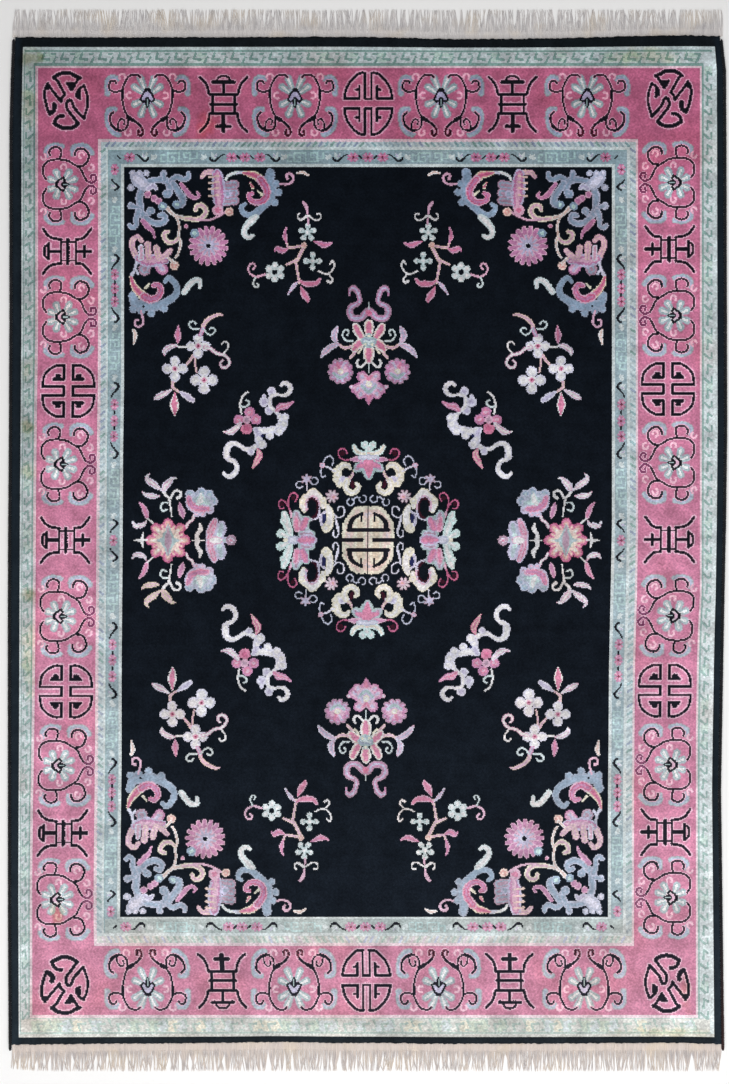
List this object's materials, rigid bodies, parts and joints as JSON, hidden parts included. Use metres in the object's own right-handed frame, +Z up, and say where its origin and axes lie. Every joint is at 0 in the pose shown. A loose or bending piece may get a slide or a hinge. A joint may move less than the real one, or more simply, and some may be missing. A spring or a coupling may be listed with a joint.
{
  "type": "fringed wool rug",
  "caption": "Flat rectangular hand-knotted pile rug with a dark flowered field, a pink border between narrow guard stripes, overcast side cords and a cotton fringe at each end.",
  "frame": {"origin": "on the floor under the middle of the rug, fringes included", "axes": "+Z up from the floor, +Y along the rug towards the end shown at the top, +X across it"},
  "size_m": [1.707, 2.52, 0.012],
  "materials": {
    "wool_pile": "clipped wool pile, soft sheen, knotted pattern in black, pink, grey-blue and cream",
    "wool_cord": "overcast wool yarn, matt",
    "cotton_fringe": "off-white cotton warp yarn, matt"
  },
  "bodies": {
    "root": {"rug_body": "wool_pile", "side_cord_left": "wool_cord", "side_cord_right": "wool_cord", "fringe_top": "cotton_fringe", "fringe_bottom": "cotton_fringe"}
  },
  "joints": []
}
